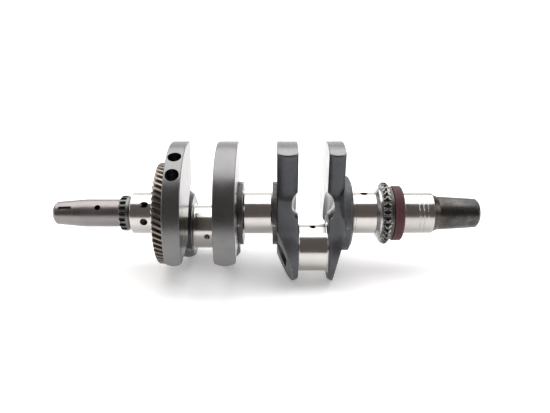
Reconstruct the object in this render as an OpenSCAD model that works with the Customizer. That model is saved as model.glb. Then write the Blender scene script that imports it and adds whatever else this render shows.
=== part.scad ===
/* [Crank throws] */
// Distance from the crank axis to each crankpin axis, half the stroke
throw = 36.75; // [30:0.25:44]
// Distance from the middle of the crank to the middle of each crankpin
pin_centre = 53.6; // [48:0.2:62]
// Free length of each crankpin between its webs
pin_gap = 28.8; // [24:0.2:36]
// Crankpin diameter
pin_d = 46; // [38:0.5:54]
// Main journal diameter
main_d = 42; // [35:0.5:50]
// Angle of each throw on either side of straight down
throw_angle = 45; // [30:1:60]

/* [Webs] */
// Thickness of the two webs beside the centre journal
inner_web_t = 20.3; // [16:0.1:26]
// Thickness of the two webs at the outer ends
outer_web_t = 16.3; // [13:0.1:22]
// Radius of the counterweight rims
rim_r = 72.5; // [64:0.5:84]
// Half of the angle that a counterweight spans
rim_half_angle = 66; // [50:1:78]
// Radius of the cheek around the crankpin
cheek_r = 33; // [30:0.5:38]
// Height above the axis where the cheek runs into the counterweight
waist_height = 2; // [-6:0.5:6]
// Height above the axis where the cheek's own sides end, inside the counterweight
cheek_top = 13; // [10:0.5:20]
// How far the sides of a counterweight bulge at mid thickness
weight_bulge = 4; // [1:0.5:6]
// How far the sides of a cheek bulge at mid thickness
cheek_bulge = 2.5; // [1:0.5:5]
// Thickness left at the tip of each cheek by the bevel
tip_t = 4.6; // [3:0.2:9]
// Distance below the axis where the bevel starts
bevel_start = 32; // [22:0.5:40]
// Distance from the crankpin axis to the middle of the round channel in each web's pin side
channel_reach = 45; // [44:0.5:50]
// Radius of that channel's section
channel_r = 12; // [8:0.5:12]
// Depth of that channel
channel_depth = 6; // [2:0.5:8]

/* [Centre journal] */
// Radius of the thrust faces beside the centre journal
thrust_r = 31.8; // [26:0.2:36]
// Thickness of each thrust collar
thrust_t = 4.4; // [2:0.2:6]

/* [Timing end] */
// Length of the front main journal
front_journal_l = 26.9; // [20:0.1:36]
// Length of its chamfered end
front_chamfer_l = 3.1; // [1:0.1:5]
// Width of the balancer gear
gear_w = 14.1; // [10:0.1:20]
// Outer diameter of the balancer gear
gear_od = 102.4; // [80:0.2:120]
// Number of teeth on the balancer gear
gear_teeth = 53; // [30:1:64]
// Helix angle of the balancer gear
gear_helix = 26; // [10:1:35]
// Outer diameter of the timing sprocket
timing_od = 35.7; // [32:0.1:40]
// Number of teeth on the timing sprocket
timing_teeth = 19; // [14:1:24]
// Width of the teeth of the timing sprocket
timing_w = 7; // [5:0.1:10]
// Width of the flange beside those teeth
timing_flange_w = 2.3; // [1.5:0.1:4]
// Nose shaft diameter
nose_d = 28.1; // [24:0.1:30]
// Nose shaft length up to its taper
nose_l = 35.5; // [28:0.5:45]
// Taper diameter at its small end
nose_tip_d = 22.7; // [19:0.1:25]
// Taper length
nose_taper_l = 32; // [24:0.5:40]
// Width of the keyway in the taper
keyway_w = 3.8; // [2.5:0.1:5]
// Length of the keyway
keyway_l = 13; // [8:0.5:18]

/* [Drive end] */
// Radius of the boss beside the outer web
boss_r = 37.5; // [32:0.5:42]
// Length of the rear main journal from that boss
rear_journal_l = 22.5; // [18:0.5:34]
// Outer diameter of the pump sprocket
pump_od = 62.4; // [56:0.2:72]
// Number of teeth on the pump sprocket
pump_teeth = 31; // [24:1:40]
// Width of the teeth of the pump sprocket
pump_w = 7.7; // [5:0.1:11]
// Width of the cone collar beside the pump sprocket
collar_w = 5; // [3.5:0.1:7]
// Width of the spacer between the sprocket and the seal
spacer_w = 3.5; // [2:0.1:6]
// Outer diameter of the oil seal
seal_od = 55.4; // [52:0.2:62]
// Width of the oil seal
seal_w = 10; // [8:0.1:14]
// Running clearance between the seal lips and the shaft, on the radius
seal_clearance = 0.05; // [0.02:0.01:0.09]
// Length of the bare land beyond the seal
land_l = 31; // [22:0.5:40]
// Taper diameter at its large end
drive_taper_d = 34; // [31:0.2:37]
// Taper diameter at its small end
drive_tip_d = 29; // [25:0.2:30.6]
// Length of the drive taper
drive_taper_l = 41.5; // [32:0.5:52]

/* [Drillings] */
// Diameter of the lightening bore in each crankpin
pin_bore_d = 20; // [12:0.5:22]
// Distance of that bore outwards from the crankpin axis
pin_bore_offset = 7; // [3:0.5:9]
// Diameter of the slanted oil drillings
oil_d = 6.4; // [3:0.1:7]
// Diameter of the balance holes in the rim
balance_hole_d = 13; // [8:0.5:14]
// Depth of the balance holes
balance_hole_depth = 15; // [8:0.5:20]
// Core diameter of the thread in the nose end
nose_thread_d = 10.2; // [8:0.1:12]
// Core diameter of the thread in the drive end
drive_thread_d = 12.4; // [10:0.1:14]

/* [Hidden] */
$fn = 96;
eps = 0.01;

// Stations along the crank, in its own direction +X towards the drive end
inner_face_x = pin_centre - pin_gap / 2;
journal_face_x = inner_face_x - inner_web_t;
outer_face_x = pin_centre + pin_gap / 2;
end_face_x = outer_face_x + outer_web_t;
gear_end_x = end_face_x + gear_w;
front_journal_end_x = gear_end_x + front_journal_l;
sprocket_face_x = front_journal_end_x + front_chamfer_l;
nose_start_x = sprocket_face_x + timing_flange_w + timing_w;
nose_taper_x = nose_start_x + nose_l;
nose_end_x = nose_taper_x + nose_taper_l;
boss_edge_t = 5.5;
boss_shoulder_t = 2.5;
boss_cone_t = 2.5;
rear_journal_x = end_face_x + boss_edge_t + boss_shoulder_t + boss_cone_t;
collar_x = rear_journal_x + rear_journal_l;
pump_x = collar_x + collar_w;
spacer_x = pump_x + pump_w;
seal_x = spacer_x + spacer_w;
land_end_x = seal_x + seal_w + land_l;
land_cone_l = 5.5;
drive_taper_x = land_end_x + land_cone_l;
drive_end_x = drive_taper_x + drive_taper_l;

// Seats and radii
main_r = main_d / 2;
pin_r = pin_d / 2;
fillet_r = 2;
journal_relief = 1.3;
gear_seat_r = main_r + 6;
timing_seat_r = 12.5;
step_r = main_r - 2.5;
collar_r = main_r + 4.5;
collar_band_w = 2.8;
track_margin = 1.5;
land_relief = 0.3;
end_chamfer = 2.5;
boss_fall = 4.5;
journal_end_fall = 5;
cone_root_gap = 2.5;
land_shoulder = 1.5;
slant_overrun = 4;
side_line_angle = atan((rim_r * cos(rim_half_angle) - waist_height)
    / (rim_r * sin(rim_half_angle) - cheek_r));
oil_hole_x = (gear_end_x + front_journal_end_x) / 2;
rear_oil_x = rear_journal_x + rear_journal_l / 2;
pin_bore_centre = throw + pin_bore_offset;
pin_bore_stop = 4;
nose_thread_depth = 24;
nose_plug_t = 4;
drive_thread_depth = 34;
plug_t = 6;
plug_wall = 1.2;
second_hole_turn = 48;
oil_seal_back_gap = 0.3;
spring_seat = 2.9;
spring_wire_r = 0.9;
key_w = 3;
key_h = 3;
keyway_end_gap = 6.3;
keyway_depth = 1.8;
nose_oil_d = 5.6;
nose_oil_setback = 21.5;
nose_mouth = 2.4;
drive_mouth = 2.6;
journal_oil_d = 7.4;
pin_oil_d = 6;
pin_oil_turn = 50;
balance_turns = [50.5, 68];
dowel_d = 4;
dowel_gap = 4;

// Teeth: their height, and the shares of the tooth pitch at the root and the tip
gear_tooth_h = 4.3;
gear_root_share = 0.68;
gear_tip_share = 0.3;
timing_tooth_h = 3.1;
timing_root_share = 0.6;
timing_tip_share = 0.3;
timing_chamfer = 1.4;
timing_flange_step = 0.6;
timing_flange_slope = 1;
pump_tooth_h = 4.2;
pump_root_share = 0.62;
pump_tip_share = 0.28;
pump_chamfer = 2.2;

// Points the drawing direction +Z along the crank and +Y to +Z
module along_crank() {
    rotate([90, 0, 90]) children();
}

// A round bar along the crank from one station to another
module bar(from_x, to_x, r) {
    translate([from_x, 0, 0]) along_crank() cylinder(r = r, h = to_x - from_x);
}

// A cone along the crank
module cone(from_x, to_x, r_from, r_to) {
    translate([from_x, 0, 0]) along_crank() cylinder(r1 = r_from, r2 = r_to, h = to_x - from_x);
}

// A ring along the crank
module ring(from_x, to_x, outer_r, inner_r) {
    difference() {
        bar(from_x, to_x, outer_r);
        bar(from_x - 1, to_x + 1, inner_r);
    }
}

// Turns a throw so that its counterweight points up and to the front or back
module on_front_throw() {
    rotate([throw_angle, 0, 0]) children();
}

module on_rear_throw() {
    rotate([-throw_angle, 0, 0]) children();
}

// A hole pointing outwards from the axis, turned from the front horizontal upwards
module radial_hole(x, turn, d, from_r, to_r) {
    translate([x, 0, 0]) rotate([-turn, 0, 0]) rotate([90, 0, 0])
        translate([0, 0, from_r]) cylinder(d = d, h = to_r - from_r);
}

// The slanted drilling from the far side of a main journal into a crankpin bore,
// in the plane of its throw, for the front half of the crank
module slanted_drilling(start_x, start_r) {
    run = start_x - pin_centre - slant_overrun;
    drop = start_r + throw;
    slant = atan(drop / run);
    length = sqrt(run * run + drop * drop);
    translate([-start_x, 0, start_r]) rotate([0, 90 + slant, 0])
        translate([0, 0, -slant_overrun]) cylinder(d = oil_d, h = length + slant_overrun);
}

module front_drillings() {
    on_front_throw() slanted_drilling(oil_hole_x, main_r);
}

module rear_drillings() {
    on_rear_throw() mirror([1, 0, 0]) slanted_drilling(rear_oil_x, main_r);
}

// A crankpin's offset lightening bore, from the far side of the inner web
// outwards, drawn for the rear throw side of the crank
module pin_bore() {
    translate([journal_face_x - 1, 0, -pin_bore_centre]) along_crank()
        cylinder(d = pin_bore_d, h = outer_face_x - pin_bore_stop - journal_face_x + 1);
}

// A counterweight: a flat plate under the rim circle, with a bulged edge along each side line
module counterweight(t) {
    bulge_r = (t * t / 4 + weight_bulge * weight_bulge) / (2 * weight_bulge);
    inset = weight_bulge + 0.6;
    vee_y = waist_height - cheek_r * tan(side_line_angle) + inset / cos(side_line_angle);
    side_x = rim_r * 1.2;
    side_y = vee_y + side_x * tan(side_line_angle);
    intersection() {
        cylinder(r = rim_r, h = t);
        union() {
            linear_extrude(t) polygon([
                [0, vee_y],
                [side_x, side_y],
                [side_x, rim_r * 2],
                [-side_x, rim_r * 2],
                [-side_x, side_y]
            ]);
            for (side = [0, 1]) mirror([side, 0, 0])
                translate([cheek_r, waist_height, 0]) rotate([0, 0, side_line_angle])
                    translate([-6, bulge_r, t / 2]) rotate([0, 90, 0])
                        cylinder(r = bulge_r, h = rim_r);
        }
    }
}

// The cheek from the axis down around the crankpin, with bulged sides
module cheek(t) {
    bulge_r = (t * t / 4 + cheek_bulge * cheek_bulge) / (2 * cheek_bulge);
    flat_r = cheek_r - cheek_bulge - 0.4;
    intersection() {
        translate([-rim_r, -rim_r - throw, 0]) cube([rim_r * 2, rim_r * 2 + throw, t]);
        union() {
            translate([0, -throw, 0]) cylinder(r = flat_r, h = t);
            translate([0, -throw, t / 2]) rotate_extrude() intersection() {
                translate([cheek_r - bulge_r, 0]) circle(r = bulge_r);
                translate([flat_r - 3, -t / 2]) square([bulge_r, t]);
            }
            translate([-flat_r, -throw, 0]) cube([flat_r * 2, throw + cheek_top, t]);
            for (side = [-1, 1])
                translate([side * (cheek_r - bulge_r), -throw, t / 2]) rotate([-90, 0, 0])
                    cylinder(r = bulge_r, h = throw + cheek_top);
        }
    }
}

// One web, drawn from its journal side (z = 0) to its pin side (z = t), counterweight up
module web(t) {
    bevel = atan((t - tip_t) / (throw + cheek_r - bevel_start));
    channel_z = t + channel_r - channel_depth;
    difference() {
        union() {
            counterweight(t);
            cheek(t);
        }
        translate([0, -bevel_start, 0]) rotate([-bevel, 0, 0])
            translate([-rim_r, -rim_r * 2, -t * 3]) cube([rim_r * 2, rim_r * 2, t * 3]);
        translate([0, -throw, channel_z]) rotate_extrude()
            translate([channel_reach, 0]) circle(r = channel_r);
    }
}

// Places a web with its journal side at a station and its pin side further out
module outward_web(journal_side_x, t) {
    translate([journal_side_x, 0, 0]) along_crank() web(t);
}

// Places a web with its pin side at a station and its journal side further out
module inward_web(pin_side_x, t) {
    translate([pin_side_x + t, 0, 0]) mirror([1, 0, 0]) along_crank() web(t);
}

// A concave fillet ring around a bar of radius r, against a face on its -X side
module fillet_ring(face_x, r, size) {
    translate([face_x, 0, 0]) along_crank() rotate_extrude() difference() {
        translate([r - size, 0]) square([size * 2, size]);
        translate([r + size, size]) circle(r = size);
    }
}

// A ground crankpin with a fillet at both ends, for the rear half
module crankpin_body() {
    difference() {
        translate([0, 0, -throw]) {
            bar(inner_face_x, outer_face_x, pin_r);
            fillet_ring(inner_face_x, pin_r, fillet_r);
            mirror([1, 0, 0]) fillet_ring(-outer_face_x, pin_r, fillet_r);
        }
        pin_bore();
    }
}

module nose_shaft() {
    color([0.55, 0.53, 0.53]) difference() {
        union() {
            cone(-nose_end_x, -nose_end_x + end_chamfer, nose_tip_d / 2 - end_chamfer, nose_tip_d / 2);
            cone(-nose_end_x + end_chamfer, -nose_taper_x, nose_tip_d / 2, nose_d / 2);
            bar(-nose_taper_x, -nose_start_x, nose_d / 2);
            bar(-nose_start_x, -sprocket_face_x, timing_seat_r);
        }
        bar(-nose_end_x - 1, -nose_end_x + nose_thread_depth, nose_thread_d / 2);
        cone(-nose_end_x - eps, -nose_end_x + nose_mouth, nose_thread_d / 2 + nose_mouth, nose_thread_d / 2);
        bar(-nose_end_x + nose_thread_depth - 1, -sprocket_face_x + 1, oil_d / 2);
        rotate([throw_angle, 0, 0])
            translate([-nose_end_x + keyway_end_gap, -keyway_w / 2, nose_tip_d / 2 - keyway_depth])
                cube([keyway_l, keyway_w, nose_d]);
        radial_hole(-nose_start_x - nose_oil_setback, throw_angle, nose_oil_d, 0, nose_d);
        timing_key_slot();
    }
}

module timing_key_slot() {
    translate([-nose_start_x, -key_w / 2, -timing_seat_r - key_h / 2])
        cube([timing_w, key_w, key_h]);
}

module front_journal() {
    color([0.75, 0.74, 0.72]) difference() {
        union() {
            cone(-sprocket_face_x, -front_journal_end_x, main_r - journal_end_fall, main_r);
            bar(-front_journal_end_x, -gear_end_x, main_r);
            bar(-gear_end_x, -end_face_x, gear_seat_r);
        }
        bar(-sprocket_face_x - 1, -oil_hole_x, oil_d / 2);
        front_drillings();
        radial_hole(-oil_hole_x, throw_angle - second_hole_turn, journal_oil_d, 0, main_d);
        gear_dowel_hole();
    }
}

module gear_dowel_hole() {
    translate([-gear_end_x - 1, 0, gear_seat_r]) along_crank()
        cylinder(d = dowel_d, h = gear_w - dowel_gap + 1);
}

module front_outer_web() {
    color([0.62, 0.61, 0.6]) difference() {
        on_front_throw() mirror([1, 0, 0]) inward_web(outer_face_x, outer_web_t);
        front_drillings();
        for (turn = balance_turns)
            radial_hole(-outer_face_x - outer_web_t / 2, turn, balance_hole_d,
                rim_r - balance_hole_depth, rim_r + 5);
    }
}

module front_crankpin() {
    color([0.75, 0.74, 0.72]) difference() {
        on_front_throw() mirror([1, 0, 0]) crankpin_body();
        front_drillings();
        on_front_throw() mirror([1, 0, 0]) pin_oil_hole();
    }
}

// Oil outlet in the loaded side of a crankpin
module pin_oil_hole() {
    translate([pin_centre, 0, -throw]) rotate([pin_oil_turn, 0, 0])
        cylinder(d = pin_oil_d, h = pin_r * 2);
}

module front_inner_web() {
    color([0.55, 0.55, 0.56]) difference() {
        on_front_throw() mirror([1, 0, 0]) outward_web(journal_face_x, inner_web_t);
        on_front_throw() mirror([1, 0, 0]) pin_bore();
    }
}

module centre_journal() {
    color([0.75, 0.74, 0.72]) {
        bar(-journal_face_x + thrust_t, journal_face_x - thrust_t, main_r);
        for (side = [0, 1]) mirror([side, 0, 0]) {
            bar(journal_face_x - thrust_t - journal_relief, journal_face_x - thrust_t,
                main_r + journal_relief);
            bar(journal_face_x - thrust_t, journal_face_x, thrust_r);
        }
    }
}

module rear_inner_web() {
    color([0.3, 0.3, 0.32]) difference() {
        on_rear_throw() outward_web(journal_face_x, inner_web_t);
        on_rear_throw() pin_bore();
    }
}

module rear_crankpin() {
    color([0.75, 0.74, 0.72]) difference() {
        on_rear_throw() crankpin_body();
        rear_drillings();
        on_rear_throw() pin_oil_hole();
    }
}

module rear_outer_web() {
    color([0.3, 0.3, 0.32]) difference() {
        union() {
            on_rear_throw() inward_web(outer_face_x, outer_web_t);
            bar(end_face_x - outer_web_t / 2, end_face_x, boss_r);
        }
        rear_drillings();
    }
}

module rear_journal() {
    color([0.75, 0.74, 0.72]) difference() {
        union() {
            bar(end_face_x, end_face_x + boss_edge_t, boss_r);
            cone(end_face_x + boss_edge_t, rear_journal_x - boss_cone_t, boss_r, boss_r - boss_fall);
            cone(rear_journal_x - boss_cone_t, rear_journal_x, boss_r - boss_fall, main_r + cone_root_gap);
            bar(rear_journal_x, collar_x, main_r);
        }
        rear_drillings();
        radial_hole(rear_oil_x, 90, journal_oil_d, 0, main_d);
    }
}

module drive_shaft_end() {
    color([0.4, 0.39, 0.38]) difference() {
        union() {
            bar(collar_x, seal_x, step_r);
            bar(seal_x, seal_x + seal_w + track_margin, main_r);
            bar(seal_x + seal_w, land_end_x, main_r - land_relief);
            cone(land_end_x, drive_taper_x, main_r - land_shoulder, drive_taper_d / 2);
            cone(drive_taper_x, drive_end_x - end_chamfer, drive_taper_d / 2, drive_tip_d / 2);
            cone(drive_end_x - end_chamfer, drive_end_x, drive_tip_d / 2, drive_tip_d / 2 - end_chamfer);
        }
        bar(drive_end_x - drive_thread_depth, drive_end_x + 1, drive_thread_d / 2);
        cone(drive_end_x - drive_mouth, drive_end_x + eps,
            drive_thread_d / 2, drive_thread_d / 2 + drive_mouth);
        pump_key_slot();
    }
}

module pump_key_slot() {
    translate([pump_x, -key_w / 2, -step_r - key_h / 2]) cube([pump_w, key_w, key_h]);
}

// One tooth of a gear as points around its centre, root to tip to root
function tooth_points(i, count, root_r, tip_r, root_share, tip_share) = [
    for (k = [[-root_share, root_r], [-tip_share, tip_r], [tip_share, tip_r], [root_share, root_r]])
        let (turn = (i + k[0] / 2) * 360 / count) [k[1] * cos(turn), k[1] * sin(turn)]
];

function toothed_outline(count, root_r, tip_r, root_share, tip_share) = [
    for (i = [0 : count - 1]) each tooth_points(i, count, root_r, tip_r, root_share, tip_share)
];

module balancer_gear() {
    gear_r = gear_od / 2;
    twist_turn = gear_w * tan(gear_helix) / gear_r * 180 / PI;
    color([0.42, 0.38, 0.34]) difference() {
        translate([-gear_end_x, 0, 0]) along_crank() intersection() {
            linear_extrude(height = gear_w, twist = -twist_turn, slices = 3)
                polygon(toothed_outline(gear_teeth, gear_r - gear_tooth_h, gear_r,
                    gear_root_share, gear_tip_share));
            union() {
                cylinder(r1 = gear_r - 1, r2 = gear_r + 1, h = 2);
                translate([0, 0, 2]) cylinder(r = gear_r + 1, h = gear_w - 2);
            }
        }
        bar(-gear_end_x - 1, -end_face_x + 1, gear_seat_r);
        gear_dowel_hole();
    }
}

module balancer_gear_dowel() {
    color([0.7, 0.7, 0.7]) translate([-gear_end_x, 0, gear_seat_r]) along_crank()
        cylinder(d = dowel_d, h = gear_w - dowel_gap);
}

module timing_sprocket() {
    r = timing_od / 2;
    color([0.2, 0.2, 0.21]) difference() {
        union() {
            translate([-nose_start_x, 0, 0]) along_crank() intersection() {
                linear_extrude(timing_w)
                    polygon(toothed_outline(timing_teeth, r - timing_tooth_h, r,
                        timing_root_share, timing_tip_share));
                cylinder(r1 = r - timing_chamfer, r2 = r + timing_w - timing_chamfer, h = timing_w);
            }
            cone(-nose_start_x + timing_w, -sprocket_face_x,
                r - timing_flange_step, r - timing_flange_step - timing_flange_slope);
        }
        bar(-nose_start_x - 1, -sprocket_face_x + 1, timing_seat_r);
        timing_key_slot();
    }
}

module timing_sprocket_key() {
    color([0.7, 0.7, 0.7]) timing_key_slot();
}

module pump_sprocket() {
    r = pump_od / 2;
    color([0.25, 0.25, 0.26]) difference() {
        translate([pump_x, 0, 0]) along_crank() intersection() {
            linear_extrude(pump_w)
                polygon(toothed_outline(pump_teeth, r - pump_tooth_h, r, pump_root_share, pump_tip_share));
            cylinder(r1 = r - pump_chamfer, r2 = r + pump_w - pump_chamfer, h = pump_w);
            cylinder(r1 = r + pump_w - pump_chamfer, r2 = r - pump_chamfer, h = pump_w);
        }
        bar(pump_x - 1, spacer_x + 1, step_r);
        pump_key_slot();
    }
}

module pump_sprocket_key() {
    color([0.7, 0.7, 0.7]) pump_key_slot();
}

module cone_collar() {
    color([0.62, 0.62, 0.63]) difference() {
        union() {
            cone(collar_x, pump_x - collar_band_w, main_r + 1, collar_r);
            bar(pump_x - collar_band_w, pump_x, collar_r);
        }
        bar(collar_x - 1, pump_x + 1, step_r);
    }
}

module spacer_ring() {
    color([0.16, 0.15, 0.15]) ring(spacer_x, seal_x, seal_od / 2 - 1.2, step_r);
}

// Rubber of the seal from its back (y = 0) to its front, as radius and distance
module seal_section() {
    outer = seal_od / 2;
    lip = main_r + seal_clearance;
    back = oil_seal_back_gap;
    corner = 2.5;
    wall = 2.6;
    face_t = 3.5;
    difference() {
        union() {
            polygon([
                [outer, back],
                [outer, seal_w - corner],
                [outer - corner, seal_w],
                [lip + 1.6, seal_w],
                [lip, seal_w - 0.3],
                [lip + 1.5, seal_w - 2],
                [lip + 1.2, back + 5.4],
                [lip, back + 3.2],
                [lip + 1.2, back + 1.4],
                [lip + 3.1, back + 1.4],
                [lip + 3.1, seal_w - face_t],
                [outer - wall, seal_w - face_t],
                [outer - wall, back]
            ]);
            translate([outer - corner, seal_w - corner]) circle(r = corner);
        }
        seal_case_section();
        translate([lip + spring_seat, back + 2.9]) circle(r = spring_wire_r, $fn = 24);
    }
}

// Steel stiffener of the seal, an angle ring inside the rubber
module seal_case_section() {
    outer = seal_od / 2;
    front = seal_w - 1.6;
    translate([outer - 1.8, oil_seal_back_gap]) square([0.9, front - oil_seal_back_gap]);
    translate([main_r + seal_clearance + 3.3, front - 0.9])
        square([outer - 1 - main_r - seal_clearance - 3.3, 0.9]);
}

module oil_seal_case() {
    color([0.6, 0.6, 0.62]) translate([seal_x, 0, 0]) along_crank()
        rotate_extrude() seal_case_section();
}

module oil_seal_rubber() {
    color([0.3, 0.15, 0.13]) translate([seal_x, 0, 0]) along_crank()
        rotate_extrude() seal_section();
}

module oil_seal_spring() {
    color([0.75, 0.75, 0.76]) translate([seal_x + oil_seal_back_gap + 2.9, 0, 0]) along_crank()
        rotate_extrude() translate([main_r + seal_clearance + spring_seat, 0])
            circle(r = spring_wire_r, $fn = 24);
}

// A pressed steel cup in the mouth of a crankpin bore, for the rear half
module crankpin_plug() {
    translate([inner_face_x - 3, 0, -pin_bore_centre]) along_crank() difference() {
        cylinder(d = pin_bore_d, h = plug_t);
        translate([0, 0, -1]) cylinder(d = pin_bore_d - plug_wall * 2, h = plug_t - plug_wall + 1);
    }
}

module front_crankpin_plug() {
    color([0.5, 0.5, 0.5]) on_front_throw() mirror([1, 0, 0]) crankpin_plug();
}

module rear_crankpin_plug() {
    color([0.5, 0.5, 0.5]) on_rear_throw() crankpin_plug();
}

module nose_gallery_plug() {
    start_x = -nose_end_x + nose_thread_depth;
    color([0.5, 0.5, 0.5]) bar(start_x, start_x + nose_plug_t, oil_d / 2);
}

nose_shaft();
front_journal();
front_outer_web();
front_crankpin();
front_inner_web();
centre_journal();
rear_inner_web();
rear_crankpin();
rear_outer_web();
rear_journal();
drive_shaft_end();
balancer_gear();
balancer_gear_dowel();
timing_sprocket();
timing_sprocket_key();
pump_sprocket();
pump_sprocket_key();
cone_collar();
spacer_ring();
oil_seal_case();
oil_seal_rubber();
oil_seal_spring();
front_crankpin_plug();
rear_crankpin_plug();
nose_gallery_plug();
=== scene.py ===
"""Crankshaft of a parallel twin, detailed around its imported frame.

The crank lies along X with its drive end at +X, and Z is up. Sizes in the
making functions are in millimetres, and become metres when a mesh is made.
"""

from math import asin, atan, cos, pi, radians, sin, sqrt, tan

import bmesh
import bpy
from bpy.props import (
    FloatProperty, FloatVectorProperty, IntProperty, PointerProperty,
)
from mathutils import Matrix, Vector


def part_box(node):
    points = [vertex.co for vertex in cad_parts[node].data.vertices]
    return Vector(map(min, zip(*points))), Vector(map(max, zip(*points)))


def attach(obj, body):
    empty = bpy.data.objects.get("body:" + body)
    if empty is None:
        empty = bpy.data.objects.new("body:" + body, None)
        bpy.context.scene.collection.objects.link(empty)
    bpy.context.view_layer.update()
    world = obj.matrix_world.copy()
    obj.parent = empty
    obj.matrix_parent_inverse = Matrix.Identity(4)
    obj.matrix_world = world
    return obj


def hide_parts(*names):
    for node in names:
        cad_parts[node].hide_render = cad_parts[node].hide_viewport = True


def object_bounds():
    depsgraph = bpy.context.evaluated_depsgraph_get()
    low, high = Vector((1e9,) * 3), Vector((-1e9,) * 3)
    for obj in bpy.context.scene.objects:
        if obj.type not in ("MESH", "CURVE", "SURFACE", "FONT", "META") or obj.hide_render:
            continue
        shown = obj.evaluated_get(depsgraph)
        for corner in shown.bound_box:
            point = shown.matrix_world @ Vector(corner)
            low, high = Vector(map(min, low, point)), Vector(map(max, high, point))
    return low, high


bl_info = {
    "name": "Crankshaft Maker",
    "version": (1, 0, 0),
    "blender": (4, 5, 0),
    "location": "View3D > Sidebar > Crankshaft",
    "description": "Makes the detailed pieces, finishes and studio of a crankshaft",
    "category": "Object",
}

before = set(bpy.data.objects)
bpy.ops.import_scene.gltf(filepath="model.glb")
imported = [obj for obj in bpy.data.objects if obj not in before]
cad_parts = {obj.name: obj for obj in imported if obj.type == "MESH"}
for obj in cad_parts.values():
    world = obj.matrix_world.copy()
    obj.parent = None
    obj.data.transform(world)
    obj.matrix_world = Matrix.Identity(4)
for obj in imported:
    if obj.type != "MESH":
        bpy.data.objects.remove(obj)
CAD_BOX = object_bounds()
MM = 0.001
CRANK = "crankshaft"
SEAL = "oil_seal"

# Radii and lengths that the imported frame's boxes don't give, in millimetres
THROW = 36.75
MAIN_R = 21.0
PIN_R = 23.0
STEP_R = 18.5
GEAR_SEAT_R = 27.0
TIMING_SEAT_R = 12.5
THRUST_R = 31.8
THRUST_T = 4.4
RIM_R = 72.5
CHEEK_R = 33.0
WAIST_Y = 2.0
SIDE_ANGLE = atan((RIM_R * cos(radians(66)) - WAIST_Y) / (RIM_R * sin(radians(66)) - CHEEK_R))
TIP_T = 4.6
BEVEL_START = 32.0
CHANNEL_R = 12.0
CHANNEL_REACH = 45.0
CHANNEL_DEPTH = 6.0
PIN_BORE_R = 10.0
PIN_BORE_Y = -43.75
GALLERY_R = 3.2
GALLERY_RUN = 54.25
BOSS_R = 37.5
OIL_MOUTH_R = 3.7
BALANCE_HOLE_R = 6.5
BALANCE_HOLE_DEPTH = 15.0
GEAR_ROOT_R = 46.9
GEAR_TIP_R = 51.2
GEAR_TEETH = 53
GEAR_HELIX = radians(26)
TIMING_TEETH = 19
PUMP_TEETH = 31


# Settings

class CrankShapeSettings(bpy.types.PropertyGroup):
    """Sizes of the detail that is modelled over the frame."""
    edge_round: FloatProperty(
        name="Edge rounding", description="Radius on the turned edges, in millimetres",
        default=0.5, min=0.1, max=1.2)
    web_edge_round: FloatProperty(
        name="Web edge rounding", description="Radius along the edges of the webs, in millimetres",
        default=1.0, min=0.2, max=2.0)
    waist_fillet: FloatProperty(
        name="Waist fillet", description="Radius between a cheek and its counterweight, in millimetres",
        default=11.0, min=4.0, max=16.0)
    weight_bulge: FloatProperty(
        name="Counterweight bulge", description="Forging draft of the counterweight sides, in millimetres",
        default=4.0, min=0.5, max=6.0)
    cheek_bulge: FloatProperty(
        name="Cheek bulge", description="Forging draft of the cheek sides, in millimetres",
        default=2.5, min=0.5, max=5.0)
    turned_segments: IntProperty(
        name="Turned segments", description="Number of segments around each turned piece",
        default=160, min=48, max=256)
    groove_depth: FloatProperty(
        name="Groove depth", description="Depth of the helical grooves in the drive land, in millimetres",
        default=0.45, min=0.0, max=0.6)


class CrankFinishSettings(bpy.types.PropertyGroup):
    """Colours and gloss of the finishes."""
    journal_colour: FloatVectorProperty(
        name="Journal", description="Ground and lapped journal steel",
        default=(0.57, 0.55, 0.525), size=3, subtype="COLOR", min=0, max=1)
    turned_colour: FloatVectorProperty(
        name="Turned steel", description="Satin turned steel of the nose",
        default=(0.235, 0.218, 0.215), size=3, subtype="COLOR", min=0, max=1)
    rim_colour: FloatVectorProperty(
        name="Machined rim", description="Machined counterweight rims and faces",
        default=(0.185, 0.183, 0.183), size=3, subtype="COLOR", min=0, max=1)
    forged_colour: FloatVectorProperty(
        name="Forged skin", description="Dark blue-grey skin of the forging",
        default=(0.076, 0.079, 0.085), size=3, subtype="COLOR", min=0, max=1)
    gear_colour: FloatVectorProperty(
        name="Gear steel", description="Brownish hardened steel of the balancer gear",
        default=(0.24, 0.21, 0.185), size=3, subtype="COLOR", min=0, max=1)
    black_colour: FloatVectorProperty(
        name="Blackened steel", description="Black oxide of the sprockets and collars",
        default=(0.035, 0.035, 0.037), size=3, subtype="COLOR", min=0, max=1)
    rubber_colour: FloatVectorProperty(
        name="Seal rubber", description="Maroon brown rubber of the oil seal",
        default=(0.085, 0.03, 0.036), size=3, subtype="COLOR", min=0, max=1)


class CrankStudioSettings(bpy.types.PropertyGroup):
    """Camera, floor and lights."""
    focal_length: FloatProperty(
        name="Focal length", description="Camera focal length in millimetres",
        default=36.5, min=20, max=100)
    camera_place: FloatVectorProperty(
        name="Camera place", description="Where the camera stands",
        default=(0.017, -0.524, 0.2135), size=3, subtype="TRANSLATION", unit="LENGTH")
    camera_pitch: FloatProperty(
        name="Camera pitch", description="Angle of the camera below the horizontal",
        default=radians(21.5), subtype="ANGLE", unit="ROTATION")
    floor_colour: FloatVectorProperty(
        name="Floor", description="Pale floor and backdrop",
        default=(0.9, 0.9, 0.9), size=3, subtype="COLOR", min=0, max=1)
    overhead_power: FloatProperty(
        name="Overhead light", description="Strength of the large soft light above",
        default=47.0, min=0, max=200, unit="POWER")


# Mesh helpers

def span(node):
    """Where a frame node starts and ends along the crank, in millimetres."""
    low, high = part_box(node)
    return low[0] / MM, high[0] / MM


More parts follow.
